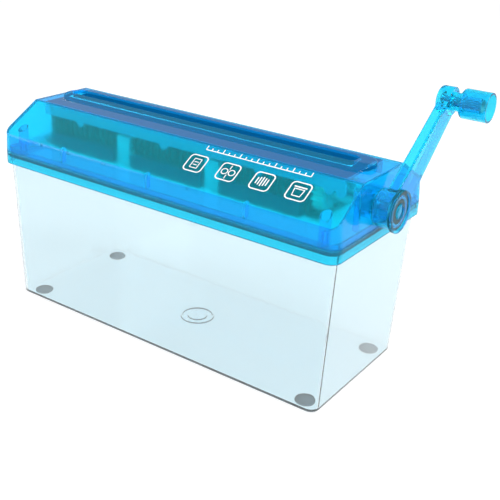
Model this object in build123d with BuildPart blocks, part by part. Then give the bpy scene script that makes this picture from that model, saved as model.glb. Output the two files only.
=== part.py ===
"""Hand-crank paper shredder: a tapered waste bin, a lift-off head with two geared cutter
rollers, and a crank whose shaft is the front roller's own shaft.

Millimetres. +X points to the crank, +Y to the back, +Z up. The origin is the centre of the
bin's flat underside, so the four rubber feet reach a little below zero.
"""

import math
import os

from build123d import *

# ---------------------------------------------------------------- driving dimensions
# Bin
bin_base_length = 275.0
bin_base_depth = 111.0
bin_height = 114.0
bin_wall = 2.0
bin_corner = 7.0
bin_foot_round = 2.0
floor_ring_radius = 12.8
floor_ring_width = 1.3
floor_disc_radius = 7.3
floor_mark_height = 0.8

# Rubber feet
foot_radius = 7.0
foot_height = 2.0
foot_rest_radius = 5.0
foot_inset_x = 13.5
foot_inset_y = 12.5

# Head: lower frame and cover
head_length = 290.0
head_depth = 120.0
head_wall = 2.0
head_corner = 8.0
band_bottom = 108.8
deck_thickness = 2.2
seam_height = 118.2
wall_top = 131.4
cover_top = 151.8
ridge_half = 26.9
end_lean = 2.7
shoulder_round = 3.0
ridge_round = 1.6
rim_gap = 0.6
wall_rib_reach = 6.0
front_rib_x = (-82.5, -2.7, 77.9)
end_rib_y = -30.0
upstand_wall = 1.4
upstand_height = 5.0

# Raised collar round the feed slot
collar_length = 269.0
collar_front = -13.3
collar_back = 16.0
collar_rise = 3.3
collar_round = 1.2
slot_length = 250.0
slot_centre_x = -4.5
slot_front = -2.3
slot_back = 10.3
slot_corner = 4.0

# Cutter rollers
shaft_radius = 4.0
front_shaft_y = -9.2
shaft_height = 132.9
shaft_distance = 22.5
cutter_radius = 12.0
core_radius = 9.5
disc_thickness = 2.4
disc_pitch = 5.4
discs_per_bay = 12
bay_count = 3
bay_gap = 16.2
first_bay_x = -129.4
spacer_radius = 6.0

# Spur gears
gear_teeth = 15
gear_face = 8.0
gear_hub_radius = 7.0
gear_pressure = math.radians(20)
gear_backlash = 0.3
gear_addendum_share = 0.9
gear_dedendum_share = 1.25

# Side plates, saddles and combs
plate_thickness = 3.0
plate_reach = 21.2
plate_corner = 1.5
plate_foot = 7.0
plate_screw_share = 0.7
bush_wall = 1.0
bush_flange_radius = 6.5
bush_flange = 1.2
saddle_width = 12.0
saddle_ring = 3.4
saddle_foot = 9.5
saddle_column = 138.0
saddle_open = 2.0
comb_reach = 14.8
comb_bar = 2.5
comb_foot = 11.0
comb_foot_thickness = 2.8
comb_tip = 7.7
comb_top = 127.0
comb_tip_low = 122.4
comb_screw_shares = (0.2, 0.8)
finger_thickness = 1.8
drop_half = 14.0
rod_radius = 2.0
rod_offset = 7.3
rod_height = 145.6
rod_head = 1.5
rod_head_radius = 2.8

# Paper guide under the slot
guide_wall = 1.6
guide_left = -134.4
guide_right = 128.5
guide_bottom = 144.6
guide_clear = 0.5
guide_throat_front = -0.9
guide_throat_back = 5.6
guide_mouth_gap = 0.5
skirt_inset_front = 2.4
skirt_inset_back = 1.5
skirt_bottom = 141.0
tab_width = 7.0
tab_drop = 3.6
end_tab_offsets = (20.0, 28.5)
rib_thickness = 2.0
rib_bottom = 143.2

# Crank
arm_length = 88.0
arm_lean = math.radians(50.5)
arm_face = 157.5
arm_plate = 2.0
arm_wall = 2.0
arm_flange_edge = 150.5
arm_half_at_hub = 11.0
arm_half_at_boss = 7.2
hub_start = 145.8
hub_radius = 12.3
hub_core_radius = 7.0
boss_start = 148.0
boss_radius = 9.3
boss_recess = 3.0
boss_recess_radius = 6.0
end_boss_radius = 9.0
end_boss_face = 145.5
shaft_flat = 3.0
shaft_end = 153.0
cap_radius = 13.7
cap_thickness = 1.8
cap_rim = 2.0
cap_rim_rise = 0.8
cap_ring_outer = 5.2
cap_ring_inner = 3.8
tongue_radius = 9.3
tongue_width = 1.3
tongue_depth = 1.4

# Knob on its spindle
knob_radius = 9.7
knob_wall = 1.4
knob_end = 182.0
knob_neck_radius = 6.0
knob_shoulder_x = 163.3
knob_shoulder_round = 2.2
knob_sleeve_radius = 4.8
knob_sleeve_end = 176.0
spindle_radius = 3.0
spindle_head_radius = 4.4
spindle_head = 2.0
rivet_head = 1.5

# Screws
screw_radius = 1.5
screw_head_radius = 2.8
screw_head = 1.8
screw_length = 8.0
module_screw_length = 4.6
cover_screw_length = 12.0
hole_run_out = 1.0
cover_boss_radius = 3.6
cover_boss_x = 131.0
cover_boss_y = 50.0
crank_screw_radius = 2.0
crank_screw_head_radius = 3.8
crank_screw_head = 2.2
crank_screw_length = 14.0

# Clips
clip_thickness = 1.0
clip_radius = 6.5
groove_depth = 0.8

# Clearances
running_gap = 0.05
seat_gap = 0.02
side_gap = 0.3
hole_gap = 0.1

# ---------------------------------------------------------------- worked out from them
rear_shaft_y = front_shaft_y + shaft_distance
nip_y = (front_shaft_y + rear_shaft_y) / 2
rod_spots = [(front_shaft_y - rod_offset, rod_height), (rear_shaft_y + rod_offset, rod_height)]
bay_length = discs_per_bay * disc_pitch
bay_starts = [first_bay_x + n * (bay_length + bay_gap) for n in range(bay_count)]
rollers_end = bay_starts[-1] + bay_length
gap_centres = [x - bay_gap / 2 for x in bay_starts[1:]]
deck_bottom = bin_height
deck_top = deck_bottom + deck_thickness
bin_rim_length = head_length - 2 * (head_wall + rim_gap)
bin_rim_depth = head_depth - 2 * (head_wall + rim_gap)
slope = math.atan2(cover_top - wall_top, head_depth / 2 - ridge_half)
plate_top = cover_top - head_wall - guide_wall
left_plate_x = first_bay_x - side_gap - bush_flange - plate_thickness
right_plate_x = rollers_end + side_gap + bush_flange
gear_start = right_plate_x + plate_thickness + side_gap
gear_end = gear_start + bush_flange + gear_face
shaft_left = left_plate_x - side_gap - clip_thickness - shaft_radius / 2
rear_shaft_end = gear_end + side_gap + clip_thickness + shaft_radius / 2
gear_module = shaft_distance / gear_teeth
bush_radius = shaft_radius + bush_wall
foot_x = bin_base_length / 2 - foot_inset_x
foot_y = bin_base_depth / 2 - foot_inset_y
arm_direction = (0, math.sin(arm_lean), math.cos(arm_lean))
knob_y = front_shaft_y + arm_length * arm_direction[1]
knob_z = shaft_height + arm_length * arm_direction[2]
end_boss_start = cover_boss_x + cover_boss_radius

os.makedirs("parts", exist_ok=True)


def save(piece, label):
    """Labels a finished piece and writes it under the same name."""
    piece.part.label = label
    export_step(piece.part, f"parts/{label}.step")


def across(x):
    """The plane square to the rollers at x, with its own x along +Y and its own y along +Z."""
    return Plane(origin=(x, 0, 0), x_dir=(0, 1, 0), z_dir=(1, 0, 0))


def around(y, z):
    """The upright plane through a shaft's axis: its x runs along the shaft and its y is the radius."""
    return Plane(origin=(0, y, z), x_dir=(1, 0, 0), z_dir=(0, -1, 0))


def arm_plane(x):
    """The plane square to the crank's axis at x, centred on it, with its own x along the arm."""
    return Plane(origin=(x, front_shaft_y, shaft_height), x_dir=arm_direction, z_dir=(1, 0, 0))


def mirrored(y, rear):
    """Takes a front roller's y to the rear roller's side of the nip."""
    return 2 * nip_y - y if rear else y


# ---------------------------------------------------------------- bin
def bin_section(height, inset):
    """The bin's rounded rectangle at a height, this far inside its outer faces."""
    share = height / bin_height
    length = bin_base_length + (bin_rim_length - bin_base_length) * share
    depth = bin_base_depth + (bin_rim_depth - bin_base_depth) * share
    RectangleRounded(length - 2 * inset, depth - 2 * inset, bin_corner - inset)


with BuildPart() as bin_shell:
    for level in (0, bin_height):
        with BuildSketch(Plane.XY.offset(level)):
            bin_section(level, 0)
    loft(ruled=True)
    fillet(bin_shell.faces().sort_by(Axis.Z)[0].edges(), bin_foot_round)
    for level in (bin_wall, bin_height):
        with BuildSketch(Plane.XY.offset(level)):
            bin_section(level, bin_wall)
    loft(ruled=True, mode=Mode.SUBTRACT)
    with BuildSketch(Plane.XY.offset(bin_wall)):
        Circle(floor_ring_radius)
        Circle(floor_ring_radius - floor_ring_width, mode=Mode.SUBTRACT)
        Circle(floor_disc_radius)
    extrude(amount=floor_mark_height)
save(bin_shell, "bin_shell")


def foot(x, y):
    """A moulded rubber foot: a pad under the floor, domed down to a small flat."""
    with BuildPart() as pad:
        with BuildSketch(Plane(origin=(x, y, 0), x_dir=(1, 0, 0), z_dir=(0, -1, 0))):
            with BuildLine():
                Line((0, 0), (foot_radius, 0))
                Line((foot_radius, 0), (foot_radius, -foot_height / 4))
                Spline(
                    (foot_radius, -foot_height / 4),
                    (foot_rest_radius, -foot_height),
                    tangents=[(0, -1), (-1, 0)],
                )
                Line((foot_rest_radius, -foot_height), (0, -foot_height))
                Line((0, -foot_height), (0, 0))
            make_face()
        revolve(axis=Axis((x, y, 0), (0, 0, 1)))
    return pad


for end, x in (("left", -foot_x), ("right", foot_x)):
    for side, y in (("front", -foot_y), ("back", foot_y)):
        save(foot(x, y), f"foot_{side}_{end}")

# ---------------------------------------------------------------- places of the small screws
cover_screw_spots = [(x, y) for x in (-cover_boss_x, cover_boss_x) for y in (-cover_boss_y, cover_boss_y)]
plate_screw_spots = [
    (x, nip_y + reach)
    for x in (left_plate_x - plate_foot / 2, right_plate_x + plate_thickness + plate_foot / 2)
    for reach in (-plate_reach * plate_screw_share, plate_reach * plate_screw_share)
]
saddle_screw_y = nip_y - drop_half - saddle_foot / 2
saddle_screw_spots = [(x, mirrored(saddle_screw_y, rear)) for x in gap_centres for rear in (False, True)]
comb_front_y = front_shaft_y - comb_reach
comb_screw_y = comb_front_y + comb_foot / 2
comb_screw_spots = [
    (start + bay_length * share, mirrored(comb_screw_y, rear))
    for start in bay_starts
    for share in comb_screw_shares
    for rear in (False, True)
]
deck_screw_spots = plate_screw_spots + saddle_screw_spots + comb_screw_spots

# ---------------------------------------------------------------- lower frame
with BuildPart() as lower_frame:
    with BuildSketch(Plane.XY.offset(band_bottom)):
        RectangleRounded(head_length, head_depth, head_corner)
    extrude(amount=seam_height - band_bottom)
    with BuildSketch(Plane.XY.offset(band_bottom)):
        RectangleRounded(head_length - 2 * head_wall, head_depth - 2 * head_wall, head_corner - head_wall)
    extrude(amount=deck_bottom - band_bottom, mode=Mode.SUBTRACT)
    with BuildSketch(Plane.XY.offset(deck_top)):
        RectangleRounded(head_length - 2 * head_wall, head_depth - 2 * head_wall, head_corner - head_wall)
    extrude(amount=seam_height - deck_top, mode=Mode.SUBTRACT)
    upstand_inset = head_wall + side_gap
    with BuildSketch(Plane.XY.offset(deck_top)):
        for inset, mode in ((upstand_inset, Mode.ADD), (upstand_inset + upstand_wall, Mode.SUBTRACT)):
            length = head_length - 2 * inset
            depth = head_depth - 2 * inset
            RectangleRounded(length, depth, head_corner - inset, mode=mode)
    extrude(amount=upstand_height)
    with BuildSketch(Plane.XY.offset(deck_bottom)):
        with Locations(((bay_starts[0] + rollers_end) / 2, nip_y)):
            RectangleRounded(rollers_end - bay_starts[0], 2 * drop_half, bin_wall)
    extrude(amount=deck_thickness, mode=Mode.SUBTRACT)
    with BuildSketch(Plane.XY.offset(deck_bottom)):
        with Locations(*deck_screw_spots, *cover_screw_spots):
            Circle(screw_radius + hole_gap)
    extrude(amount=deck_thickness, mode=Mode.SUBTRACT)
save(lower_frame, "lower_frame")


# ---------------------------------------------------------------- cover
def cover_block(inset, bottom):
    """The cover's solid outline, moved in by inset and cut off flat at bottom."""
    half = head_depth / 2 - inset
    shoulder = wall_top + inset * math.tan(slope) - inset / math.cos(slope)
    crest = cover_top - inset
    crest_half = ridge_half - inset * math.tan(slope / 2)
    length = head_length - 2 * inset
    with BuildPart() as block:
        with BuildSketch(across(-length / 2)) as outline:
            with BuildLine():
                Polyline(
                    (-half, bottom),
                    (half, bottom),
                    (half, shoulder),
                    (crest_half, crest),
                    (-crest_half, crest),
                    (-half, shoulder),
                    close=True,
                )
            make_face()
            fillet(outline.vertices().group_by(Axis.Y)[1], shoulder_round)
            fillet(outline.vertices().group_by(Axis.Y)[-1], ridge_round)
        extrude(amount=length)
        for level in (bottom, cover_top):
            lean = end_lean * (level - seam_height) / (cover_top - seam_height)
            with BuildSketch(Plane.XY.offset(level)):
                RectangleRounded(length - 2 * lean, 2 * half, head_corner - inset)
        loft(ruled=True, mode=Mode.INTERSECT)
    return block


outside = cover_block(0, seam_height)
with BuildPart() as collar:
    collar_depth = collar_back - collar_front
    with BuildSketch(Plane.XY.offset(cover_top - head_wall)):
        with Locations((0, (collar_front + collar_back) / 2)):
            SlotOverall(collar_length, collar_depth)
    extrude(amount=head_wall + collar_rise)
    fillet(collar.faces().sort_by(Axis.Z)[-1].edges(), collar_round)
    ramp = Plane(
        origin=(0, collar_front, cover_top),
        x_dir=(1, 0, 0),
        z_dir=(0, -collar_rise, slot_front - collar_front),
    )
    split(bisect_by=ramp, keep=Keep.BOTTOM)

with BuildPart() as cover_inside:
    with BuildSketch(Plane.XY.offset(deck_top)):
        with Locations(*cover_screw_spots):
            Circle(cover_boss_radius)
    extrude(amount=cover_top - deck_top)
    with BuildSketch(Plane.XY.offset(deck_top + upstand_height + side_gap)):
        with Locations(*[(x, (wall_rib_reach - head_depth) / 2) for x in front_rib_x]):
            Rectangle(rib_thickness, wall_rib_reach)
    extrude(amount=wall_top - deck_top - upstand_height)
    with BuildSketch(Plane.XY.offset(deck_top + upstand_height + side_gap)):
        with Locations(((head_length - head_wall - wall_rib_reach) / 2, end_rib_y)):
            Rectangle(wall_rib_reach, rib_thickness)
    extrude(amount=cover_top - deck_top)
    add(cover_block(head_wall / 2, deck_top).part, mode=Mode.INTERSECT)

with BuildPart() as upper_cover:
    add(outside.part)
    add(cover_block(head_wall, seam_height).part, mode=Mode.SUBTRACT)
    add(collar.part)
    add(cover_inside.part)
    with BuildSketch(across(end_boss_start)):
        with Locations((front_shaft_y, shaft_height)):
            Circle(end_boss_radius)
    extrude(amount=end_boss_face - end_boss_start)
    with BuildSketch(Plane.XY.offset(cover_top - 2 * head_wall)):
        with Locations((slot_centre_x, (slot_front + slot_back) / 2)):
            RectangleRounded(slot_length, slot_back - slot_front, slot_corner)
    extrude(amount=4 * head_wall, mode=Mode.SUBTRACT)
    with BuildSketch(across(cover_boss_x)):
        with Locations((front_shaft_y, shaft_height)):
            Circle(bush_radius + seat_gap)
    extrude(amount=head_length, mode=Mode.SUBTRACT)
    with BuildSketch(Plane.XY.offset(deck_top)):
        with Locations(*cover_screw_spots):
            Circle(screw_radius + seat_gap)
    extrude(amount=cover_screw_length - deck_thickness, mode=Mode.SUBTRACT)
save(upper_cover, "upper_cover")

# ---------------------------------------------------------------- paper guide
guide_top = cover_top - head_wall
guide_front = skirt_inset_front - ridge_half
guide_back = ridge_half - skirt_inset_back
mouth_front = slot_front - guide_mouth_gap
mouth_back = slot_back + guide_mouth_gap
slot_left = slot_centre_x - slot_length / 2
slot_right = slot_centre_x + slot_length / 2
tab_spots = [start + bay_length / 2 for start in bay_starts]
tab_spots += [rollers_end + offset for offset in end_tab_offsets]


def guide_slab(y_low, y_high, z_low, z_high):
    """Draws one upright or level slab of the guide's cross-section."""
    with Locations(((y_low + y_high) / 2, (z_low + z_high) / 2)):
        Rectangle(y_high - y_low, z_high - z_low)


def funnel_wall(mouth, throat, outward):
    """Draws one sloping wall of the funnel, its thickness on the roller's side."""
    Polygon(
        (mouth, guide_top),
        (throat, guide_bottom),
        (throat + outward * guide_wall, guide_bottom),
        (mouth + outward * guide_wall, guide_top),
        align=None,
    )


with BuildPart() as paper_guide:
    with BuildSketch(across(guide_left)):
        guide_slab(guide_front, mouth_front, guide_top - guide_wall, guide_top)
        guide_slab(mouth_back, guide_back, guide_top - guide_wall, guide_top)
        guide_slab(guide_front, guide_front + guide_wall, skirt_bottom, guide_top)
        guide_slab(guide_back - guide_wall, guide_back, skirt_bottom, guide_top)
    extrude(amount=guide_right - guide_left)
    with BuildSketch(across(slot_left - guide_wall)):
        funnel_wall(mouth_front, guide_throat_front, -1)
        funnel_wall(mouth_back, guide_throat_back, 1)
    extrude(amount=slot_length + 2 * guide_wall)
    for x in (guide_left, slot_right):
        with BuildSketch(across(x)):
            guide_slab(mouth_front - guide_wall, mouth_back + guide_wall, guide_top - guide_wall, guide_top)
        extrude(amount=slot_left - guide_left if x == guide_left else guide_right - slot_right)
    for x in (slot_left - guide_wall, slot_right):
        with BuildSketch(across(x)):
            Polygon(
                (mouth_front, guide_top),
                (guide_throat_front, guide_bottom),
                (guide_throat_back, guide_bottom),
                (mouth_back, guide_top),
                align=None,
            )
        extrude(amount=guide_wall)
    with BuildSketch(across(right_plate_x)):
        guide_slab(
            guide_throat_front - guide_wall / 2,
            guide_throat_back + guide_wall / 2,
            guide_bottom,
            guide_bottom + guide_wall,
        )
    extrude(amount=slot_right - right_plate_x)
    for x in gap_centres:
        with BuildSketch(across(x - rib_thickness / 2)):
            guide_slab(guide_front, mouth_front - guide_wall, rib_bottom, guide_top)
            guide_slab(mouth_back + guide_wall, guide_back, rib_bottom, guide_top)
        extrude(amount=rib_thickness)
    with BuildSketch(Plane.XZ.offset(-guide_front - guide_wall)):
        with Locations(*[(x, skirt_bottom + tab_drop / 2) for x in tab_spots]):
            SlotOverall(3 * tab_drop, tab_width, rotation=90)
    extrude(amount=guide_wall)
    with BuildSketch(across(guide_left)):
        with Locations(*rod_spots):
            Circle(rod_head_radius + side_gap)
    extrude(amount=guide_right - guide_left, mode=Mode.SUBTRACT)
save(paper_guide, "paper_guide")


# ---------------------------------------------------------------- side plates and their bushes
def side_plate(x, outward):
    """A moulded end plate with both bearing holes and a foot that turns away from the rollers."""
    with BuildPart() as plate:
        with BuildSketch(across(x)) as outline:
            guide_slab(nip_y - plate_reach, nip_y + plate_reach, deck_top, plate_top)
            chamfer(outline.vertices().group_by(Axis.Y)[-1], plate_corner)
            notch_width = mouth_back - mouth_front + 2 * (guide_wall + guide_clear)
            with Locations(((mouth_front + mouth_back) / 2, plate_top)):
                Rectangle(notch_width, 2 * (plate_top - guide_bottom + guide_clear), mode=Mode.SUBTRACT)
        extrude(amount=plate_thickness)
        foot_start = x - plate_foot if outward < 0 else x + plate_thickness
        with BuildSketch(across(foot_start)):
            guide_slab(nip_y - plate_reach, nip_y + plate_reach, deck_top, deck_top + plate_thickness)
        extrude(amount=plate_foot)
        with BuildSketch(across(x)):
            with Locations((front_shaft_y, shaft_height), (rear_shaft_y, shaft_height)):
                Circle(bush_radius + seat_gap)
            with Locations(*rod_spots):
                Circle(rod_radius + seat_gap)
        extrude(amount=plate_thickness, mode=Mode.SUBTRACT)
        with BuildSketch(Plane.XY.offset(deck_top)):
            with Locations(*[spot for spot in plate_screw_spots if 0 < spot[0] - foot_start < plate_foot]):
                Circle(screw_radius + seat_gap)
        extrude(amount=plate_thickness, mode=Mode.SUBTRACT)
    return plate


save(side_plate(left_plate_x, -1), "side_plate_left")
save(side_plate(right_plate_x, 1), "side_plate_right")


def bush(start, y, length, flange_at_start, flange_radius=bush_flange_radius):
    """A flanged plain bearing for one shaft, its flange on the side that takes the thrust."""
    with BuildPart() as sleeve:
        with BuildSketch(across(start)):
            with Locations((y, shaft_height)):
                Circle(bush_radius)
        extrude(amount=length)
        flange_start = start - bush_flange if flange_at_start else start + length
        with BuildSketch(across(flange_start)):
            with Locations((y, shaft_height)):
                Circle(flange_radius)
        extrude(amount=bush_flange)
        with BuildSketch(across(start - bush_flange)):
            with Locations((y, shaft_height)):
                Circle(shaft_radius + running_gap)
        extrude(amount=length + 2 * bush_flange, mode=Mode.SUBTRACT)
    return sleeve


for roller, y in (("front", front_shaft_y), ("rear", rear_shaft_y)):
    save(bush(left_plate_x, y, plate_thickness, False), f"{roller}_bush_left")
    save(bush(right_plate_x, y, plate_thickness, True), f"{roller}_bush_right")
save(bush(end_boss_start, front_shaft_y, end_boss_face - end_boss_start, True), "crank_bush")


# ---------------------------------------------------------------- saddles, combs, tie rods
def saddle(x, rear):
    """A hooked mid-span bearing: it stands beside the drop opening and is open towards the nip."""
    shaft_y = mirrored(front_shaft_y, rear)
    foot_centre = mirrored(saddle_screw_y, rear)
    nip_side = mirrored(front_shaft_y + saddle_open + shaft_radius * 2, rear)
    with BuildPart() as block:
        with BuildSketch(across(x - saddle_width / 2)):
            with Locations((foot_centre, (deck_top + saddle_column) / 2)):
                Rectangle(saddle_foot, saddle_column - deck_top)
            with Locations((shaft_y, shaft_height)):
                Circle(spacer_radius + saddle_ring)
                Circle(spacer_radius + running_gap, mode=Mode.SUBTRACT)
            with Locations((nip_side, shaft_height)):
                Rectangle(4 * saddle_open + shaft_radius, 4 * cutter_radius, mode=Mode.SUBTRACT)
        extrude(amount=saddle_width)
        with BuildSketch(Plane.XY.offset(deck_top)):
            with Locations((x, foot_centre)):
                Circle(screw_radius + seat_gap)
        extrude(amount=screw_length - deck_thickness, mode=Mode.SUBTRACT)
    return block


for end, x in zip(("left", "right"), gap_centres):
    for roller, rear in (("front", False), ("rear", True)):
        save(saddle(x, rear), f"{roller}_saddle_{end}")


def comb(start, rear):
    """A stripper for one bay: a foot and a bar with a finger lying in each groove of its roller."""
    shaft_y = mirrored(front_shaft_y, rear)
    groove_offset = disc_thickness - disc_pitch / 2 if rear else disc_thickness
    groove_width = disc_pitch - disc_thickness
    outer = mirrored(comb_front_y, rear)
    bar_inner = mirrored(comb_front_y + comb_bar, rear)
    foot_inner = mirrored(comb_front_y + comb_foot, rear)
    tip = mirrored(front_shaft_y + comb_tip, rear)
    with BuildPart() as stripper:
        with BuildSketch(across(start)):
            bar_low, bar_high = sorted((outer, bar_inner))
            guide_slab(bar_low, bar_high, deck_top, comb_top)
            foot_low, foot_high = sorted((outer, foot_inner))
            guide_slab(foot_low, foot_high, deck_top, deck_top + comb_foot_thickness)
        extrude(amount=bay_length)
        for n in range(discs_per_bay):
            finger_start = start + groove_offset + n * disc_pitch + (groove_width - finger_thickness) / 2
            with BuildSketch(across(finger_start)):
                with BuildLine():
                    Polyline(
                        (bar_inner, comb_top),
                        (bar_inner, deck_top + comb_foot_thickness / 2),
                        (foot_inner, deck_top + comb_foot_thickness / 2),
                        (tip, comb_tip_low),
                        (tip, comb_top),
                        close=True,
                    )
                make_face()
                with Locations((shaft_y, shaft_height)):
                    Circle(core_radius + 2 * side_gap, mode=Mode.SUBTRACT)
            extrude(amount=finger_thickness)
        with BuildSketch(Plane.XY.offset(deck_top)):
            with Locations(*[spot for spot in comb_screw_spots if start < spot[0] < start + bay_length]):
                Circle(screw_radius + seat_gap)
        extrude(amount=comb_foot_thickness, mode=Mode.SUBTRACT)
    return stripper


bay_names = ("left", "middle", "right")
for bay, start in zip(bay_names, bay_starts):
    for roller, rear in (("front", False), ("rear", True)):
        save(comb(start, rear), f"{roller}_comb_{bay}")

for roller, rod_spot in zip(("front", "rear"), rod_spots):
    with BuildPart() as tie_rod:
        for start, length, radius in (
            (left_plate_x - rod_head, rod_head, rod_head_radius),
            (left_plate_x, right_plate_x + plate_thickness - left_plate_x, rod_radius),
            (right_plate_x + plate_thickness, rod_head, rod_head_radius),
        ):
            with BuildSketch(across(start)):
                with Locations(rod_spot):
                    Circle(radius)
            extrude(amount=length)
    save(tie_rod, f"{roller}_tie_rod")


# ---------------------------------------------------------------- screws from under the deck
def deck_screws(spots, length):
    """Pan-head screws driven up through the deck, one solid each."""
    with BuildPart() as screws:
        with BuildSketch(Plane.XY.offset(deck_bottom - screw_head)):
            with Locations(*spots):
                Circle(screw_head_radius)
        extrude(amount=screw_head)
        chamfer(screws.faces().group_by(Axis.Z)[0].edges(), screw_head / 3)
        with BuildSketch(Plane.XY.offset(deck_bottom)):
            with Locations(*spots):
                Circle(screw_radius)
        extrude(amount=length)
    return screws


save(deck_screws(cover_screw_spots, cover_screw_length - hole_run_out), "cover_screws")
save(deck_screws(plate_screw_spots + comb_screw_spots, module_screw_length), "module_screws")
save(deck_screws(saddle_screw_spots, screw_length - hole_run_out), "saddle_screws")

# ---------------------------------------------------------------- shafts and clips
front_grooves = (left_plate_x - side_gap - clip_thickness, gear_end + side_gap)


def shaft(y, end):
    """A plain steel shaft from the left clip to end, with a groove for each retaining clip."""
    with BuildPart() as rod:
        with BuildSketch(across(shaft_left)):
            with Locations((y, shaft_height)):
                Circle(shaft_radius)
        extrude(amount=end - shaft_left)
        chamfer(rod.faces().filter_by(Axis.X).edges(), groove_depth / 2)
        for start in front_grooves:
            with BuildSketch(across(start)):
                with Locations((y, shaft_height)):
                    Circle(shaft_radius + groove_depth)
                    Circle(shaft_radius - groove_depth, mode=Mode.SUBTRACT)
            extrude(amount=clip_thickness, mode=Mode.SUBTRACT)
    return rod


front_rod = shaft(front_shaft_y, shaft_end)
with BuildPart() as front_shaft:
    add(front_rod.part)
    with BuildSketch(arm_plane(hub_start)):
        with Locations((-shaft_flat - shaft_radius, 0)):
            Rectangle(2 * shaft_radius, 4 * shaft_radius)
    extrude(amount=shaft_end - hub_start, mode=Mode.SUBTRACT)
    with BuildSketch(arm_plane(shaft_end)):
        Circle(crank_screw_radius + seat_gap)
    extrude(amount=-crank_screw_length, mode=Mode.SUBTRACT)
save(front_shaft, "front_shaft")
save(shaft(rear_shaft_y, rear_shaft_end), "rear_shaft")


def clips(y):
    """Both retaining rings of a shaft, snapped into its grooves with their mouths downwards."""
    with BuildPart() as rings:
        for start in front_grooves:
            with BuildSketch(across(start + seat_gap)):
                with Locations((y, shaft_height)):
                    Circle(clip_radius)
                    Circle(shaft_radius - groove_depth + seat_gap, mode=Mode.SUBTRACT)
                with Locations((y, shaft_height - clip_radius)):
                    Rectangle(shaft_radius, 2 * clip_radius - shaft_radius, mode=Mode.SUBTRACT)
            extrude(amount=clip_thickness - 2 * seat_gap)
    return rings


save(clips(front_shaft_y), "front_shaft_clips")
save(clips(rear_shaft_y), "rear_shaft_clips")


# ---------------------------------------------------------------- cutter rollers and spacers
def cutter_roller(start, y, first_disc):
    """One bay of cutting discs turned on a sleeve, with the first disc this far from its left end."""
    outline = [(start, shaft_radius + seat_gap), (start, core_radius)]
    for n in range(discs_per_bay):
        left = start + first_disc + n * disc_pitch
        right = left + disc_thickness
        if left > start:
            outline += [(left, core_radius)]
        else:
            outline.pop()
        outline += [(left, cutter_radius), (right, cutter_radius), (right, core_radius)]
    outline += [(start + bay_length, core_radius), (start + bay_length, shaft_radius + seat_gap)]
    with BuildPart() as roller:
        with BuildSketch(around(y, shaft_height)):
            with BuildLine():
                Polyline(*outline, close=True)
            make_face()
        revolve(axis=Axis((0, y, shaft_height), (1, 0, 0)))
    return roller


def tube(start, length, y, radius, bore):
    """A plain sleeve on a roller's axis."""
    with BuildPart() as sleeve:
        with BuildSketch(across(start)):
            with Locations((y, shaft_height)):
                Circle(radius)
                Circle(bore, mode=Mode.SUBTRACT)
        extrude(amount=length)
    return sleeve


for roller, y, first_disc in (
    ("front", front_shaft_y, 0),
    ("rear", rear_shaft_y, disc_pitch / 2),
):
    for bay, start in zip(bay_names, bay_starts):
        save(cutter_roller(start, y, first_disc), f"{roller}_cutter_{bay}")
    for end, start in zip(("left", "right"), bay_starts):
        spacer = tube(start + bay_length, bay_gap, y, spacer_radius, shaft_radius + seat_gap)
        save(spacer, f"{roller}_spacer_{end}")


# ---------------------------------------------------------------- gears
def involute(angle):
    """The involute function of a pressure angle."""
    return math.tan(angle) - angle


def spur_gear(y):
    """A spur gear with involute flanks and one tooth pointing along +Y, so two of them mesh."""
    pitch_radius = gear_module * gear_teeth / 2
    base = pitch_radius * math.cos(gear_pressure)
    tip = pitch_radius + gear_addendum_share * gear_module
    root = pitch_radius - gear_dedendum_share * gear_module
    half_tooth = (math.pi * gear_module - gear_backlash) / (4 * pitch_radius) + involute(gear_pressure)
    radii = [base + (tip - base) * step / 4 for step in range(5)]
    flank = [(r, half_tooth - involute(math.acos(min(1.0, base / r)))) for r in radii]
    outline = []
    for tooth in range(gear_teeth):
        middle = 2 * math.pi * tooth / gear_teeth
        side = [(root, flank[0][1])] + flank
        for r, offset in side:
            outline.append((r * math.cos(middle - offset), r * math.sin(middle - offset)))
        for r, offset in reversed(side):
            outline.append((r * math.cos(middle + offset), r * math.sin(middle + offset)))
    with BuildPart() as gear:
        with BuildSketch(across(gear_start + bush_flange)):
            with Locations((y, shaft_height)):
                Polygon(*outline, align=None)
        extrude(amount=gear_face)
        with BuildSketch(across(gear_start)):
            with Locations((y, shaft_height)):
                Circle(gear_hub_radius)
        extrude(amount=bush_flange)
        with BuildSketch(across(gear_start)):
            with Locations((y, shaft_height)):
                Circle(shaft_radius + seat_gap)
        extrude(amount=gear_end - gear_start, mode=Mode.SUBTRACT)
    return gear


save(spur_gear(front_shaft_y), "front_gear")
save(spur_gear(rear_shaft_y), "rear_gear")

# ---------------------------------------------------------------- crank
plate_back = arm_face - arm_plate


def arm_outline(inset):
    """Draws the arm's taper from the hub's centre to the knob boss's centre, moved in by inset."""
    Polygon(
        (0, -arm_half_at_hub + inset),
        (arm_length, -arm_half_at_boss + inset),
        (arm_length, arm_half_at_boss - inset),
        (0, arm_half_at_hub - inset),
        align=None,
    )


with BuildPart() as knob_boss:
    with BuildSketch(arm_plane(boss_start)):
        with Locations((arm_length, 0)):
            Circle(boss_radius)
    extrude(amount=plate_back - boss_start)
    fillet(knob_boss.faces().sort_by(Axis.X)[0].edges(), arm_wall)

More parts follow.
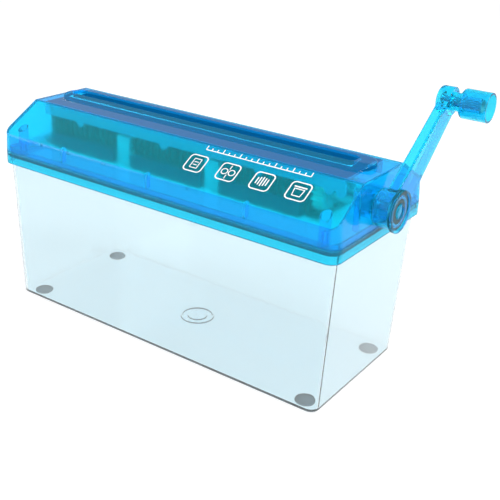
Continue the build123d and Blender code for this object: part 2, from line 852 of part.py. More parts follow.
with BuildPart() as crank_arm:
    with BuildSketch(arm_plane(plate_back)):
        arm_outline(0)
        Circle(hub_radius)
        with Locations((arm_length, 0)):
            Circle(boss_radius)
    extrude(amount=arm_plate)
    with BuildSketch(arm_plane(arm_flange_edge)):
        arm_outline(0)
    extrude(amount=plate_back - arm_flange_edge)
    with BuildSketch(arm_plane(hub_start)):
        Circle(hub_radius)
    extrude(amount=plate_back - hub_start)
    add(knob_boss.part)
    with BuildSketch(arm_plane(hub_start)):
        Circle(hub_radius - arm_wall)
        Circle(hub_core_radius, mode=Mode.SUBTRACT)
    extrude(amount=plate_back - hub_start, mode=Mode.SUBTRACT)
    with BuildSketch(arm_plane(arm_flange_edge)):
        arm_outline(arm_wall)
        Circle(hub_radius, mode=Mode.SUBTRACT)
        with Locations((arm_length, 0)):
            Circle(boss_radius, mode=Mode.SUBTRACT)
    extrude(amount=plate_back - arm_flange_edge, mode=Mode.SUBTRACT)
    with BuildSketch(arm_plane(hub_start)):
        Circle(shaft_radius + seat_gap)
        with Locations((-shaft_flat - seat_gap - shaft_radius, 0)):
            Rectangle(2 * shaft_radius, 4 * shaft_radius, mode=Mode.SUBTRACT)
    extrude(amount=shaft_end - hub_start, mode=Mode.SUBTRACT)
    with BuildSketch(arm_plane(hub_start)):
        Circle(crank_screw_radius + hole_gap)
    extrude(amount=arm_face - hub_start, mode=Mode.SUBTRACT)
    with BuildSketch(arm_plane(arm_face - crank_screw_head - side_gap)):
        Circle(crank_screw_head_radius + side_gap)
    extrude(amount=crank_screw_head + side_gap, mode=Mode.SUBTRACT)
    with BuildSketch(arm_plane(arm_face - tongue_depth)):
        Circle(tongue_radius + tongue_width / 2 + hole_gap)
        Circle(tongue_radius - tongue_width / 2 - hole_gap, mode=Mode.SUBTRACT)
    extrude(amount=tongue_depth, mode=Mode.SUBTRACT)
    with BuildSketch(arm_plane(boss_start)):
        with Locations((arm_length, 0)):
            Circle(boss_recess_radius)
    extrude(amount=boss_recess, mode=Mode.SUBTRACT)
    with BuildSketch(arm_plane(boss_start)):
        with Locations((arm_length, 0)):
            Circle(spindle_radius + seat_gap)
    extrude(amount=arm_face - boss_start, mode=Mode.SUBTRACT)
save(crank_arm, "crank_arm")

with BuildPart() as crank_screw:
    with BuildSketch(arm_plane(arm_face - crank_screw_head - side_gap)):
        Circle(crank_screw_head_radius)
    extrude(amount=crank_screw_head)
    chamfer(crank_screw.faces().sort_by(Axis.X)[-1].edges(), crank_screw_head / 4)
    with BuildSketch(arm_plane(arm_face - crank_screw_head - side_gap)):
        Circle(crank_screw_radius)
    extrude(amount=-crank_screw_length)
save(crank_screw, "crank_screw")

with BuildPart() as hub_cap:
    with BuildSketch(arm_plane(arm_face)):
        Circle(cap_radius)
    extrude(amount=cap_thickness)
    with BuildSketch(arm_plane(arm_face + cap_thickness)):
        Circle(cap_radius)
        Circle(cap_radius - cap_rim, mode=Mode.SUBTRACT)
    extrude(amount=cap_rim_rise)
    with BuildSketch(arm_plane(arm_face + cap_thickness)):
        Circle(cap_ring_outer)
        Circle(cap_ring_inner, mode=Mode.SUBTRACT)
    extrude(amount=cap_rim_rise)
    with BuildSketch(arm_plane(arm_face - tongue_depth + hole_gap)):
        Circle(tongue_radius + tongue_width / 2)
        Circle(tongue_radius - tongue_width / 2, mode=Mode.SUBTRACT)
    extrude(amount=tongue_depth - hole_gap)
save(hub_cap, "hub_cap")

# ---------------------------------------------------------------- knob and spindle
knob_axis = Axis((0, knob_y, knob_z), (1, 0, 0))
with BuildPart() as knob_spindle:
    with BuildSketch(around(knob_y, knob_z)):
        with BuildLine():
            Polyline(
                (boss_start + boss_recess - rivet_head, 0),
                (boss_start + boss_recess - rivet_head, spindle_head_radius - rivet_head / 2),
                (boss_start + boss_recess - rivet_head / 2, spindle_head_radius),
                (boss_start + boss_recess, spindle_head_radius),
                (boss_start + boss_recess, spindle_radius),
                (knob_sleeve_end + side_gap, spindle_radius),
                (knob_sleeve_end + side_gap, spindle_head_radius),
                (knob_sleeve_end + side_gap + spindle_head / 2, spindle_head_radius),
                (knob_sleeve_end + side_gap + spindle_head, spindle_head_radius / 2),
                (knob_sleeve_end + side_gap + spindle_head, 0),
                close=True,
            )
        make_face()
    revolve(axis=knob_axis)
save(knob_spindle, "knob_spindle")

knob_start = arm_face + side_gap
knob_bore = spindle_radius + running_gap
with BuildPart() as crank_knob:
    with BuildSketch(around(knob_y, knob_z)) as half_section:
        with BuildLine():
            Polyline(
                (knob_start, knob_bore),
                (knob_start, knob_neck_radius),
                (knob_shoulder_x, knob_neck_radius),
                (knob_shoulder_x, knob_radius),
                (knob_end, knob_radius),
                (knob_end, knob_radius - knob_wall),
                (knob_shoulder_x + knob_wall, knob_radius - knob_wall),
                (knob_shoulder_x + knob_wall, knob_sleeve_radius),
                (knob_sleeve_end, knob_sleeve_radius),
                (knob_sleeve_end, knob_bore),
                close=True,
            )
        make_face()
        shoulder_corner = half_section.vertices().group_by(Axis.Y)[-1].sort_by(Axis.X)[0]
        fillet(shoulder_corner, knob_shoulder_round)
    revolve(axis=knob_axis)
save(crank_knob, "crank_knob")
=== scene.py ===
"""Looks for the hand-crank paper shredder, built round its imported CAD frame. Metres."""

from math import cos, radians, sin

import bpy
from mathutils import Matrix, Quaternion, Vector


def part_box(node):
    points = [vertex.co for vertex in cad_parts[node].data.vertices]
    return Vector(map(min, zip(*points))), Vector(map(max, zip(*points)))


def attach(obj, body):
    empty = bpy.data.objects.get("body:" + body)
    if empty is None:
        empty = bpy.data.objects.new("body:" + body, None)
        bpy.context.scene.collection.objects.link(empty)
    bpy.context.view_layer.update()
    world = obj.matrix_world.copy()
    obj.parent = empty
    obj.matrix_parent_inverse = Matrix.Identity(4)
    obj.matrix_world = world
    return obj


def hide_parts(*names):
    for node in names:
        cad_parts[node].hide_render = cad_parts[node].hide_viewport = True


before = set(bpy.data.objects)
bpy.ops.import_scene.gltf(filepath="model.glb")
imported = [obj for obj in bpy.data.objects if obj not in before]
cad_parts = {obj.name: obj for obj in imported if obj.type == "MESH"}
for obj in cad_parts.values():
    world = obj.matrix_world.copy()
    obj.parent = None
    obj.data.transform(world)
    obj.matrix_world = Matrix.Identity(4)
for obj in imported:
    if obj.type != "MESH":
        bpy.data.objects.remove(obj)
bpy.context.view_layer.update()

# ---------------------------------------------------------------- view, floor and light
FLOOR_HEIGHT = -0.002


def place_camera():
    """A long lens that looks down on the crank end."""
    turn, tilt, roll = radians(34.898), radians(23.098), radians(2.528)
    back = Vector((sin(turn) * cos(tilt), -cos(turn) * cos(tilt), sin(tilt)))
    place = Vector((0.03028, 0.0, 0.0783)) + back * 0.6155
    facing = back.to_track_quat("Z", "Y") @ Quaternion((0, 0, 1), roll)
    bpy.ops.object.camera_add(location=place, rotation=facing.to_euler())
    camera = bpy.context.object
    camera.data.sensor_width = 36
    camera.data.lens = 61.45
    camera.data.shift_x = 0.0324
    camera.data.shift_y = -0.0304
    camera.data.clip_start = 0.01
    bpy.context.scene.camera = camera


def any_ray(nodes, links, *kinds):
    """Is one for a ray of any of these kinds."""
    path = nodes.new("ShaderNodeLightPath")
    found = path.outputs[kinds[0]]
    for kind in kinds[1:]:
        either = nodes.new("ShaderNodeMath")
        either.operation = "MAXIMUM"
        links.new(found, either.inputs[0])
        links.new(path.outputs[kind], either.inputs[1])
        found = either.outputs[0]
    return found


def white_room():
    """A world that shows as plain white and lights most from its left."""
    world = bpy.data.worlds.new("white_room")
    bpy.context.scene.world = world
    world.use_nodes = True
    nodes, links = world.node_tree.nodes, world.node_tree.links
    nodes.clear()
    coords = nodes.new("ShaderNodeTexCoord")
    lean = nodes.new("ShaderNodeVectorMath")
    lean.operation = "DOT_PRODUCT"
    lean.inputs[1].default_value = (-0.6, -0.5, -0.6)
    ceiling = nodes.new("ShaderNodeMapRange")
    ceiling.inputs["From Min"].default_value = -0.7
    ceiling.inputs["From Max"].default_value = 0.5
    ceiling.inputs["To Min"].default_value = 0.22
    ceiling.inputs["To Max"].default_value = 0.9
    links.new(coords.outputs["Generated"], lean.inputs[0])
    links.new(lean.outputs["Value"], ceiling.inputs["Value"])
    lighting = nodes.new("ShaderNodeBackground")
    links.new(ceiling.outputs["Result"], lighting.inputs["Strength"])
    lighting.inputs["Color"].default_value = (1, 1, 1, 1)
    shown = nodes.new("ShaderNodeBackground")
    shown.inputs["Color"].default_value = (1, 1, 1, 1)
    through = any_ray(nodes, links, "Is Camera Ray", "Is Transmission Ray")
    mix = nodes.new("ShaderNodeMixShader")
    out = nodes.new("ShaderNodeOutputWorld")
    links.new(through, mix.inputs["Fac"])
    links.new(lighting.outputs[0], mix.inputs[1])
    links.new(shown.outputs[0], mix.inputs[2])
    links.new(mix.outputs[0], out.inputs["Surface"])


def white_floor():
    """A white table top that keeps a soft shadow of the object."""
    bpy.ops.object.select_all(action="DESELECT")
    bpy.ops.mesh.primitive_plane_add(size=8, location=(0, 0, FLOOR_HEIGHT))
    floor = bpy.context.object
    floor.name = "floor"
    paint = bpy.data.materials.new("table_white")
    paint.use_nodes = True
    nodes, links = paint.node_tree.nodes, paint.node_tree.links
    nodes.clear()
    matt = nodes.new("ShaderNodeBsdfDiffuse")
    matt.inputs["Color"].default_value = (0.8, 0.8, 0.8, 1)
    shaded = nodes.new("ShaderNodeBsdfDiffuse")
    shaded.inputs["Color"].default_value = (0.25, 0.25, 0.25, 1)
    glow = nodes.new("ShaderNodeEmission")
    glow.inputs["Strength"].default_value = 0.88
    both = nodes.new("ShaderNodeAddShader")
    mix = nodes.new("ShaderNodeMixShader")
    out = nodes.new("ShaderNodeOutputMaterial")
    links.new(shaded.outputs[0], both.inputs[0])
    links.new(glow.outputs[0], both.inputs[1])
    seen = any_ray(nodes, links, "Is Camera Ray", "Is Glossy Ray", "Is Transmission Ray")
    links.new(seen, mix.inputs["Fac"])
    links.new(matt.outputs[0], mix.inputs[1])
    links.new(both.outputs[0], mix.inputs[2])
    links.new(mix.outputs[0], out.inputs["Surface"])
    floor.data.materials.append(paint)


def softbox(name, place, size, watts):
    """A square area lamp aimed at the middle of the object."""
    aim = Vector((0, 0, 0.08)) - Vector(place)
    facing = aim.to_track_quat("-Z", "Y").to_euler()
    bpy.ops.object.light_add(type="AREA", location=place, rotation=facing)
    lamp = bpy.context.object
    lamp.name = name
    lamp.data.size = size
    lamp.data.energy = watts


place_camera()
white_room()
white_floor()
softbox("softbox_overhead", (0.9, -0.2, 1.5), 1.0, 26)
softbox("softbox_front_left", (-1.6, -1.0, 0.8), 1.2, 14)
bpy.context.scene.view_settings.view_transform = "Standard"
bpy.context.scene.cycles.max_bounces = 28
bpy.context.scene.cycles.transmission_bounces = 28


# ---------------------------------------------------------------- finishes
def finish_of(name):
    """A new material holding one Principled shader, and short cuts to its parts."""
    material = bpy.data.materials.new(name)
    material.use_nodes = True
    nodes, links = material.node_tree.nodes, material.node_tree.links
    shader = nodes["Principled BSDF"]
    return material, nodes, links, shader


def noise(nodes, links, scale, detail=3.0, stretch=None):
    """Noise on Object coordinates, in cells per metre, optionally stretched along an axis."""
    coords = nodes.new("ShaderNodeTexCoord")
    speckle = nodes.new("ShaderNodeTexNoise")
    speckle.inputs["Scale"].default_value = scale
    speckle.inputs["Detail"].default_value = detail
    if stretch:
        mapping = nodes.new("ShaderNodeMapping")
        mapping.inputs["Scale"].default_value = stretch
        links.new(coords.outputs["Object"], mapping.inputs["Vector"])
        links.new(mapping.outputs["Vector"], speckle.inputs["Vector"])
    else:
        links.new(coords.outputs["Object"], speckle.inputs["Vector"])
    return speckle.outputs["Fac"]


def spread(nodes, links, source, low, high):
    """Maps a noise's middle range on to low and high."""
    span = nodes.new("ShaderNodeMapRange")
    span.inputs["From Min"].default_value = 0.3
    span.inputs["From Max"].default_value = 0.7
    span.inputs["To Min"].default_value = low
    span.inputs["To Max"].default_value = high
    links.new(source, span.inputs["Value"])
    return span.outputs["Result"]


def bump(nodes, links, shader, height, distance, strength):
    """Feeds a height to the shader's normal."""
    relief = nodes.new("ShaderNodeBump")
    relief.inputs["Distance"].default_value = distance
    relief.inputs["Strength"].default_value = strength
    links.new(height, relief.inputs["Height"])
    links.new(relief.outputs["Normal"], shader.inputs["Normal"])


def clear_bin_plastic():
    """Clear styrene with faint flow ripples and fine handling scratches."""
    material, nodes, links, shader = finish_of("clear_bin_plastic")
    shader.inputs["Base Color"].default_value = (0.86, 0.965, 1.0, 1)
    shader.inputs["Transmission Weight"].default_value = 0.94
    shader.inputs["IOR"].default_value = 1.5
    links.new(spread(nodes, links, noise(nodes, links, 60), 0.01, 0.04), shader.inputs["Roughness"])
    bump(nodes, links, shader, noise(nodes, links, 25, 1.0), 0.0006, 0.2)
    depth = nodes.new("ShaderNodeVolumeAbsorption")
    depth.inputs["Color"].default_value = (0.30, 0.58, 0.68, 1)
    depth.inputs["Density"].default_value = 9.0
    links.new(depth.outputs["Volume"], nodes["Material Output"].inputs["Volume"])
    return material


def tinted_blue(name, tint, rough_low, rough_high, density, ripple, clear=1.0, glow=0.0):
    """Clear blue styrene with flow ripples. Its glow stands in for light scattered inside it."""
    material, nodes, links, shader = finish_of(name)
    shader.inputs["Base Color"].default_value = (*tint, 1)
    shader.inputs["Transmission Weight"].default_value = clear
    shader.inputs["IOR"].default_value = 1.25
    links.new(spread(nodes, links, noise(nodes, links, 90), rough_low, rough_high), shader.inputs["Roughness"])
    bump(nodes, links, shader, noise(nodes, links, 30, 1.0), 0.0008, ripple)
    if density:
        depth = nodes.new("ShaderNodeVolumeAbsorption")
        depth.inputs["Color"].default_value = (0.05, 0.93, 0.995, 1)
        depth.inputs["Density"].default_value = density
        links.new(depth.outputs["Volume"], nodes["Material Output"].inputs["Volume"])
    shader.inputs["Emission Color"].default_value = (0.0, 0.45, 1.0, 1)
    shader.inputs["Emission Strength"].default_value = glow
    return material


def frosted_blue_painted_glow():
    """The cover's slopes, finely textured. Their tint is lighter than the glossy cover's as a painted glow, and
    the emission stands in for light scattered inside.
    """
    material, nodes, links, shader = finish_of("frosted_cover_blue_painted_glow")
    shader.inputs["Transmission Weight"].default_value = 0.96
    shader.inputs["Emission Color"].default_value = (0.0, 0.75, 1.0, 1)
    shader.inputs["Emission Strength"].default_value = 0.06
    shader.inputs["IOR"].default_value = 1.25
    cloud = noise(nodes, links, 45, 2.0)
    # Painted glow: both tones are lighter than the glossy cover's tint, standing in for light the frosting
    # scatters.
    tone = nodes.new("ShaderNodeMix")
    tone.data_type = "RGBA"
    tone.inputs["A"].default_value = (0.01, 0.88, 1.0, 1)
    tone.inputs["B"].default_value = (0.02, 0.94, 1.0, 1)
    links.new(cloud, tone.inputs["Factor"])
    links.new(tone.outputs["Result"], shader.inputs["Base Color"])
    links.new(spread(nodes, links, noise(nodes, links, 160), 0.17, 0.23), shader.inputs["Roughness"])
    return material


def metal(name, colour, low, high, stretch=None, scale=400, relief=0.00002):
    """Bare metal whose polish varies along its machining marks."""
    material, nodes, links, shader = finish_of(name)
    shader.inputs["Metallic"].default_value = 1.0
    marks = noise(nodes, links, scale, 4.0, stretch)
    tone = nodes.new("ShaderNodeMix")
    tone.data_type = "RGBA"
    tone.inputs["A"].default_value = (*[c * 0.8 for c in colour], 1)
    tone.inputs["B"].default_value = (*colour, 1)
    links.new(marks, tone.inputs["Factor"])
    links.new(tone.outputs["Result"], shader.inputs["Base Color"])
    links.new(spread(nodes, links, marks, low, high), shader.inputs["Roughness"])
    bump(nodes, links, shader, marks, relief, 0.5)
    return material


def moulded(name, colour, low, high, scale=700, relief=0.00004):
    """Opaque moulded plastic with a fine texture and slight mottling."""
    material, nodes, links, shader = finish_of(name)
    grain = noise(nodes, links, scale, 3.0)
    mottle = noise(nodes, links, 40, 2.0)
    tone = nodes.new("ShaderNodeMix")
    tone.data_type = "RGBA"
    tone.inputs["A"].default_value = (*[c * 0.88 for c in colour], 1)
    tone.inputs["B"].default_value = (*[min(1.0, c * 1.06) for c in colour], 1)
    links.new(mottle, tone.inputs["Factor"])
    links.new(tone.outputs["Result"], shader.inputs["Base Color"])
    links.new(spread(nodes, links, grain, low, high), shader.inputs["Roughness"])
    bump(nodes, links, shader, grain, relief, 0.5)
    return material


def clear_rubber():
    """The feet: smoky clear rubber with a soft skin."""
    material, nodes, links, shader = finish_of("clear_rubber")
    shader.inputs["Base Color"].default_value = (0.006, 0.016, 0.028, 1)
    shader.inputs["Transmission Weight"].default_value = 0.15
    shader.inputs["IOR"].default_value = 1.45
    links.new(spread(nodes, links, noise(nodes, links, 300), 0.12, 0.28), shader.inputs["Roughness"])
    bump(nodes, links, shader, noise(nodes, links, 1200), 0.00004, 0.4)
    return material


FINISHES = {
    "bin": clear_bin_plastic(),
    "slopes": frosted_blue_painted_glow(),
    "cover": tinted_blue("glossy_cover_blue", (0.02, 0.62, 0.98), 0.02, 0.07, 0, 0.2, 0.88, glow=0.05),
    "frame": tinted_blue("glossy_frame_blue", (0.04, 0.74, 0.96), 0.02, 0.07, 100.0, 0.25, 0.85),
    "guide": tinted_blue("guide_blue", (0.06, 0.74, 1.0), 0.05, 0.12, 0, 0.2, 0.6),
    "crank": tinted_blue("crank_blue", (0.07, 0.76, 0.99), 0.03, 0.08, 180.0, 0.2, 0.9),
    "rubber": clear_rubber(),
    "cutter": moulded(
        "blackened_cutter_steel", (0.004, 0.004, 0.005), 0.4, 0.55, scale=900, relief=0.00002
    ),
    "shaft": metal("drawn_shaft_steel", (0.55, 0.56, 0.57), 0.2, 0.38, stretch=(0.1, 4, 4)),
    "zinc": metal("zinc_plated_steel", (0.66, 0.67, 0.68), 0.22, 0.4),
    "bronze": metal("sintered_bronze", (0.55, 0.36, 0.17), 0.35, 0.55, scale=1500, relief=0.00004),
    "nylon": moulded("natural_nylon", (0.75, 0.73, 0.66), 0.35, 0.5),
    "inner": moulded("dark_inner_plastic", (0.018, 0.022, 0.03), 0.4, 0.6),
    "comb": tinted_blue("comb_blue", (0.01, 0.04, 0.12), 0.1, 0.2, 0, 0.1, 0.2),
    "saddle": moulded("pale_bearing_plastic", (0.55, 0.66, 0.72), 0.3, 0.45),
    "ink": moulded("white_printing_ink", (0.92, 0.93, 0.93), 0.4, 0.55, scale=2500, relief=0.000005),
}

SHOWN_NODES = {
    "bronze": ["front_bush_left", "front_bush_right", "rear_bush_left", "rear_bush_right", "crank_bush"],
    "shaft": ["front_shaft", "rear_shaft", "knob_spindle", "front_tie_rod", "rear_tie_rod"],
    "zinc": [
        "front_shaft_clips", "rear_shaft_clips", "crank_screw",
        "front_spacer_left", "front_spacer_right", "rear_spacer_left", "rear_spacer_right",
    ],
}
for finish, names in SHOWN_NODES.items():
    for name in names:
        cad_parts[name].data.materials[0] = FINISHES[finish]


# ---------------------------------------------------------------- hand tools for the pieces
def choose(*pieces):
    """Selects only these pieces and makes the first one active."""
    bpy.ops.object.select_all(action="DESELECT")
    for piece in pieces:
        piece.select_set(True)
    bpy.context.view_layer.objects.active = pieces[0]


def start_piece(name):
    """Names the active object and opens it with nothing selected."""
    piece = bpy.context.object
    piece.name = name
    piece.data.name = name
    bpy.ops.object.mode_set(mode="EDIT")
    bpy.ops.mesh.select_all(action="DESELECT")
    return piece


def close_piece():
    """Leaves edit mode and puts the active object's place into its mesh."""
    bpy.ops.object.mode_set(mode="OBJECT")
    bpy.ops.object.transform_apply(location=True, rotation=True, scale=True)


def crisp(degrees=35):
    """Smooths the rounds and keeps the edges of the active piece."""
    bpy.ops.object.shade_smooth_by_angle(angle=radians(degrees))


def fit(piece, body, finish, slot, *nodes):
    """Gives a finished piece its material and its body, and hides the nodes that it stands for. Its slot is not
    used.
    """
    piece.data.materials.clear()
    piece.data.materials.append(FINISHES[finish])
    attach(piece, body)
    if nodes:
        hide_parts(*nodes)


def joined(pieces, name):
    """Joins pieces into one object with its own mesh."""
    choose(*pieces)
    bpy.ops.object.join()
    whole = bpy.context.object
    whole.name = name
    whole.data.name = name
    return whole


def copies(piece, places):
    """Copies a piece to each place, each copy with its own mesh, and drops the first one."""
    made = []
    for place in places:
        choose(piece)
        bpy.ops.object.duplicate()
        copy = bpy.context.object
        copy.location = place
        bpy.ops.object.transform_apply(location=True, rotation=False, scale=False)
        made.append(copy)
    bpy.data.objects.remove(piece)
    return made


def turned(name, profile, steps=48):
    """Turns a closed profile of (along, radius) pairs round the X axis."""
    bpy.ops.object.select_all(action="DESELECT")
    first = profile[0]
    bpy.ops.mesh.primitive_plane_add(size=0.001, location=(0, 0, 0))
    piece = start_piece(name)
    bpy.ops.mesh.select_all(action="SELECT")
    bpy.ops.mesh.merge(type="CENTER")
    bpy.ops.transform.translate(value=(first[0], 0, first[1]))
    last = first
    for point in profile[1:]:
        step = (point[0] - last[0], 0, point[1] - last[1])
        bpy.ops.mesh.extrude_region_move(TRANSFORM_OT_translate={"value": step})
        last = point
    bpy.ops.mesh.select_all(action="SELECT")
    bpy.ops.mesh.spin(steps=steps, angle=radians(360), center=(0, 0, 0), axis=(1, 0, 0))
    bpy.ops.mesh.select_all(action="SELECT")
    bpy.ops.mesh.remove_doubles(threshold=0.000004)
    bpy.ops.mesh.normals_make_consistent(inside=False)
    close_piece()
    return piece


def softened(node, name, width, degrees=35):
    """Copies a moulded part and rounds its sharp edges by width."""
    choose(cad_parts[node])
    bpy.ops.object.duplicate()
    piece = start_piece(name)
    bpy.ops.mesh.select_all(action="SELECT")
    bpy.ops.mesh.remove_doubles(threshold=0.000002)
    bpy.ops.mesh.customdata_custom_splitnormals_clear()
    bpy.ops.mesh.dissolve_limited(angle_limit=radians(0.6))
    bpy.ops.object.mode_set(mode="OBJECT")
    edge = piece.modifiers.new("edge", "BEVEL")
    edge.width = width
    edge.segments = 2
    edge.limit_method = "ANGLE"
    edge.angle_limit = radians(degrees)
    edge.use_clamp_overlap = False
    edge.miter_outer = "MITER_ARC"
    bpy.ops.object.modifier_apply(modifier="edge")
    bpy.ops.object.shade_smooth()
    level = piece.modifiers.new("level", "WEIGHTED_NORMAL")
    level.keep_sharp = True
    bpy.ops.object.modifier_apply(modifier="level")
    return piece


# ---------------------------------------------------------------- moulded parts with softened edges
for node, body, finish, slot, width in (
    ("bin_shell", "bin", "bin", "clear_plastic", 0.0003),
    ("lower_frame", "head", "frame", "blue_plastic", 0.0003),
    ("upper_cover", "head", "cover", "blue_plastic", 0.0003),
    ("paper_guide", "head", "guide", "blue_plastic", 0.00025),
    ("crank_arm", "crank", "crank", "blue_handle", 0.0004),
    ("hub_cap", "crank", "crank", "blue_handle", 0.0003),
    ("crank_knob", "knob", "crank", "blue_handle", 0.0003),
    ("side_plate_left", "head", "inner", "inner_plastic", 0.0003),
    ("side_plate_right", "head", "inner", "inner_plastic", 0.0003),
    ("front_gear", "crank", "nylon", "nylon", 0.00015),
    ("rear_gear", "rear_roller", "nylon", "nylon", 0.00015),
):
    fit(softened(node, "moulded_" + node, width), body, finish, slot, node)
cover = bpy.data.objects["moulded_upper_cover"]
# The slope faces get the lighter tint with its painted glow.
cover.data.materials.append(FINISHES["slopes"])
for face in cover.data.polygons:
    if abs(face.center.y) > 0.0275 and 0.7 < abs(face.normal.z) < 0.93 and abs(face.normal.x) < 0.2:
        face.material_index = 1
for roller in ("front", "rear"):
    for end in ("left", "right"):
        node = f"{roller}_saddle_{end}"
        fit(softened(node, "moulded_" + node, 0.0003), "head", "saddle", "inner_plastic", node)
    for bay in ("left", "middle", "right"):
        node = f"{roller}_comb_{bay}"
        fit(softened(node, "moulded_" + node, 0.0002), "head", "comb", "inner_plastic", node)

# ---------------------------------------------------------------- rubber feet
def ringed_foot():
    """A stick-on foot: a dome with a ring round its rest and a shallow dish in its bonded side."""
    dish = [(0.0004, 0.0), (0.0004, 0.0034), (0.0, 0.0040), (0.0, 0.0066)]
    dome = [(0.0003, 0.0070), (0.0008, 0.00695), (0.0014, 0.0064), (0.0018, 0.0057)]
    rest = [(0.002, 0.0049), (0.002, 0.0042), (0.0017, 0.0038), (0.0017, 0.0)]
    foot = turned("ringed_foot", dish + dome + rest, steps=40)
    foot.rotation_euler = (0, radians(90), 0)
    bpy.ops.object.transform_apply(location=False, rotation=True, scale=False)
    crisp(28)
    return foot


foot_names = [f"foot_{side}_{end}" for side in ("front", "back") for end in ("left", "right")]
foot_places = []
for node in foot_names:
    low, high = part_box(node)
    foot_places.append(((low[0] + high[0]) / 2, (low[1] + high[1]) / 2, high[2]))
for node, foot in zip(foot_names, copies(ringed_foot(), foot_places)):
    foot.name = "ringed_" + node
    foot.data.name = foot.name
    fit(foot, "bin", "rubber", "rubber", node)

# ---------------------------------------------------------------- toothed cutters
CUTTER_RADIUS = 0.012
CORE_RADIUS = 0.0095
SLEEVE_BORE = 0.00403
DISC_WIDTH = 0.0024
DISC_PITCH = 0.0054
DISCS = 12
BAY_LENGTH = 0.0648


def toothed_disc():
    """One cutting disc: a flat wheel with twelve notches ground across its rim."""
    bpy.ops.object.select_all(action="DESELECT")
    bpy.ops.mesh.primitive_cylinder_add(
        vertices=48, radius=CUTTER_RADIUS, depth=DISC_WIDTH, rotation=(0, radians(90), 0)
    )
    disc = start_piece("toothed_disc")
    bpy.ops.object.mode_set(mode="OBJECT")
    bpy.ops.object.transform_apply(location=False, rotation=True, scale=False)
    for vertex in disc.data.vertices:
        angle = round(Vector((vertex.co.y, vertex.co.z)).angle_signed(Vector((1, 0))) / radians(7.5))
        vertex.select = angle % 4 == 0
    bpy.ops.object.mode_set(mode="EDIT")
    bpy.ops.transform.resize(value=(1, 0.91, 0.91), center_override=(0, 0, 0))
    bpy.ops.mesh.select_all(action="DESELECT")
    close_piece()
    return disc


def cutter_bay(node, body, first):
    """A bay of discs on its turned sleeve, laid over the plain one."""
    low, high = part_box(node)
    axis = ((low[1] + high[1]) / 2, (low[2] + high[2]) / 2)
    start = low[0]
    outer = [(0, CORE_RADIUS), (BAY_LENGTH, CORE_RADIUS)]
    inner = [(BAY_LENGTH, SLEEVE_BORE), (0, SLEEVE_BORE)]
    sleeve = turned(node + "_sleeve", [(0, SLEEVE_BORE)] + outer + inner)
    sleeve.location = (start, *axis)
    middles = [start + first + n * DISC_PITCH + DISC_WIDTH / 2 for n in range(DISCS)]
    discs = copies(toothed_disc(), [(middle, *axis) for middle in middles])
    bay = joined([sleeve] + discs, "toothed_" + node)
    bpy.ops.object.transform_apply(location=True, rotation=False, scale=False)
    edge = bay.modifiers.new("edge", "BEVEL")
    edge.width = 0.00012
    edge.limit_method = "ANGLE"
    edge.angle_limit = radians(50)
    bpy.ops.object.modifier_apply(modifier="edge")
    crisp()
    fit(bay, body, "cutter", "black_steel", node)


for bay in ("left", "middle", "right"):
    cutter_bay("front_cutter_" + bay, "crank", 0.0)
    cutter_bay("rear_cutter_" + bay, "rear_roller", DISC_PITCH / 2)


# ---------------------------------------------------------------- deck screws
def pan_screw(length):
    """A pan-head screw with a ringed shank and a cross recess, its head's seat at zero."""
    profile = [(-0.0018, 0), (-0.0018, 0.0019), (-0.0015, 0.00255), (-0.0008, 0.0028), (0, 0.0028), (0, 0.00135)]
    pitch = 0.0008
    along = 0.0006
    while along + pitch < length - 0.0006:
        profile += [(along, 0.00112), (along + pitch / 2, 0.00148)]
        along += pitch
    profile += [(along, 0.00112), (length, 0.0004), (length, 0)]
    screw = turned("pan_screw", profile, steps=20)
    bars = []
    for turn in (0, 90):
        bpy.ops.object.select_all(action="DESELECT")
        bpy.ops.mesh.primitive_cube_add(size=0.001, location=(-0.0018, 0, 0), rotation=(radians(turn), 0, 0))
        bar = start_piece("recess_bar")
        bpy.ops.mesh.select_all(action="SELECT")
        bpy.ops.transform.resize(value=(1.8, 0.55, 2.9) if turn == 0 else (1.8, 2.9, 0.55))
        bpy.ops.object.mode_set(mode="OBJECT")
        bpy.ops.object.transform_apply(location=True, rotation=True, scale=True)
        bars.append(bar)
    for bar in bars:
        choose(screw)
        recess = screw.modifiers.new("recess", "BOOLEAN")
        recess.object = bar
        recess.operation = "DIFFERENCE"
        bpy.ops.object.modifier_apply(modifier="recess")
        bpy.data.objects.remove(bar)
    screw.rotation_euler = (0, radians(-90), 0)
    bpy.ops.object.transform_apply(location=False, rotation=True, scale=False)
    crisp()
    return screw


def screw_spots(node):
    """Where each screw of a node stands, found from the node's own loose parts."""
    choose(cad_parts[node])
    bpy.ops.object.duplicate()
    bpy.ops.object.mode_set(mode="EDIT")
    bpy.ops.mesh.select_all(action="SELECT")
    bpy.ops.mesh.remove_doubles(threshold=0.000002)
    bpy.ops.mesh.separate(type="LOOSE")
    bpy.ops.object.mode_set(mode="OBJECT")
    spots = []
    for part in list(bpy.context.selected_objects):
        xs = [v.co.x for v in part.data.vertices]
        ys = [v.co.y for v in part.data.vertices]
        spots.append(((min(xs) + max(xs)) / 2, (min(ys) + max(ys)) / 2))
        bpy.data.objects.remove(part)
    return sorted(spots)


for node in ("cover_screws", "module_screws", "saddle_screws"):
    low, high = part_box(node)
    seat = low[2] + 0.0018
    placed = copies(pan_screw(high[2] - seat), [(x, y, seat) for x, y in screw_spots(node)])
    fit(joined(placed, "pan_head_" + node), "head", "zinc", "steel", node)

# ---------------------------------------------------------------- printing on the front slope
SLOPE = radians(31.65)
SLOPE_RISE = 0.6163
SLOPE_FOOT_Y, SLOPE_FOOT_Z = -0.06, 0.1314
INK = 0.00006
INK_LIFT = 0.00001


def slope_point(x, y):
    """The point of the front slope's face at x and y."""
    return (x, y, SLOPE_FOOT_Z + (y - SLOPE_FOOT_Y) * SLOPE_RISE)


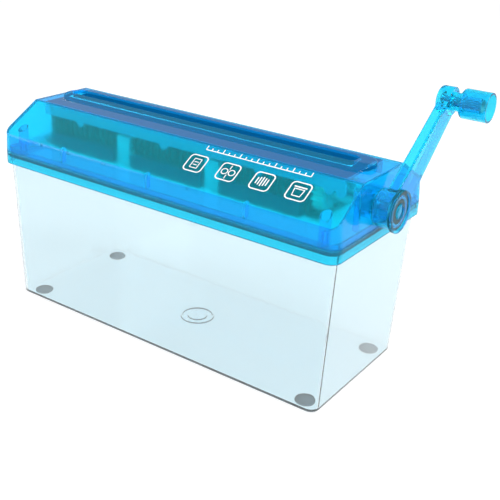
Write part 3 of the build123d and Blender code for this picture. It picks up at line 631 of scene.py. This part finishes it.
def flat_ring(width, height, corner, line):
    """A rounded outline lying flat at the origin."""
    bpy.ops.object.select_all(action="DESELECT")
    bpy.ops.mesh.primitive_plane_add(size=1, location=(0, 0, 0))
    ring = start_piece("ring")
    bpy.ops.mesh.select_all(action="SELECT")
    bpy.ops.transform.resize(value=(width, height, 1))
    if corner:
        bpy.ops.mesh.bevel(offset=corner, segments=6, affect="VERTICES")
    bpy.ops.mesh.inset(thickness=line)
    bpy.ops.mesh.delete(type="FACE")
    bpy.ops.object.mode_set(mode="OBJECT")
    return ring


def flat_bar(width, height, place=(0, 0)):
    """A plain bar lying flat, its ends rounded."""
    bpy.ops.object.select_all(action="DESELECT")
    bpy.ops.mesh.primitive_plane_add(size=1, location=(*place, 0))
    bar = start_piece("bar")
    bpy.ops.mesh.select_all(action="SELECT")
    bpy.ops.transform.resize(value=(width, height, 1))
    bpy.ops.mesh.bevel(offset=min(width, height) * 0.45, segments=3, affect="VERTICES")
    close_piece()
    return bar


def print_on_slope(parts, name, x, y):
    """Joins flat parts, gives them the ink's thickness and lays them on the slope."""
    mark = joined(parts, name)
    ink = mark.modifiers.new("ink", "SOLIDIFY")
    ink.thickness = INK
    ink.offset = 1
    bpy.ops.object.modifier_apply(modifier="ink")
    px, py, pz = slope_point(x, y)
    mark.rotation_euler = (SLOPE, 0, 0)
    mark.location = (px, py - INK_LIFT * sin(SLOPE), pz + INK_LIFT * cos(SLOPE))
    bpy.ops.object.transform_apply(location=True, rotation=True, scale=True)
    fit(mark, "head", "ink", "blue_plastic")


def frame_square():
    """The rounded square round each mark."""
    return flat_ring(0.0148, 0.0148, 0.0032, 0.00085)


def sheet_mark():
    """A sheet of paper with two ruled lines."""
    square, sheet = frame_square(), flat_ring(0.0062, 0.0084, 0.0006, 0.0006)
    return [square, sheet] + [flat_bar(0.0034, 0.0006, (0, y)) for y in (0.0012, -0.0012)]


def rollers_mark():
    """Two rollers side by side."""
    pair = []
    for side in (-1, 1):
        ring = flat_ring(0.0052, 0.0052, 0.0026, 0.0007)
        ring.location = (side * 0.0028, 0, 0)
        bpy.ops.object.transform_apply(location=True, rotation=False, scale=False)
        pair.append(ring)
    return [frame_square(), *pair, flat_bar(0.0006, 0.0036, (0, 0.004)), flat_bar(0.0006, 0.0036, (0, -0.004))]


def strips_mark():
    """Five cut strips."""
    return [frame_square()] + [flat_bar(0.0008, 0.0078 - abs(n) * 0.0012, (n * 0.0019, 0)) for n in range(-2, 3)]


def bin_mark():
    """The bin, drawn as a tapered box under a lid."""
    box = flat_ring(0.0078, 0.0062, 0.0005, 0.00065)
    bpy.ops.object.mode_set(mode="EDIT")
    bpy.ops.mesh.select_all(action="DESELECT")
    bpy.ops.object.mode_set(mode="OBJECT")
    for vertex in box.data.vertices:
        vertex.select = vertex.co.y < 0
    bpy.ops.object.mode_set(mode="EDIT")
    bpy.ops.transform.resize(value=(0.8, 1, 1), center_override=(0, 0, 0))
    bpy.ops.object.mode_set(mode="OBJECT")
    box.location = (0, -0.001, 0)
    bpy.ops.object.transform_apply(location=True, rotation=False, scale=False)
    return [frame_square(), box, flat_bar(0.0092, 0.001, (0, 0.0034))]


for parts, name, x in (
    (sheet_mark(), "print_sheet", 0.027),
    (rollers_mark(), "print_rollers", 0.0533),
    (strips_mark(), "print_strips", 0.0796),
    (bin_mark(), "print_bin", 0.1063),
):
    print_on_slope(parts, name, x, -0.0425)

scale_parts = [flat_bar(0.081, 0.0007, (0, -0.0016))]
for n in range(19):
    tall = 0.0036 if n % 3 == 0 else 0.0022
    scale_parts.append(flat_bar(0.0007, tall, (-0.0405 + n * 0.0045, -0.0016 + tall / 2)))
print_on_slope(scale_parts, "print_scale", 0.0675, -0.030)
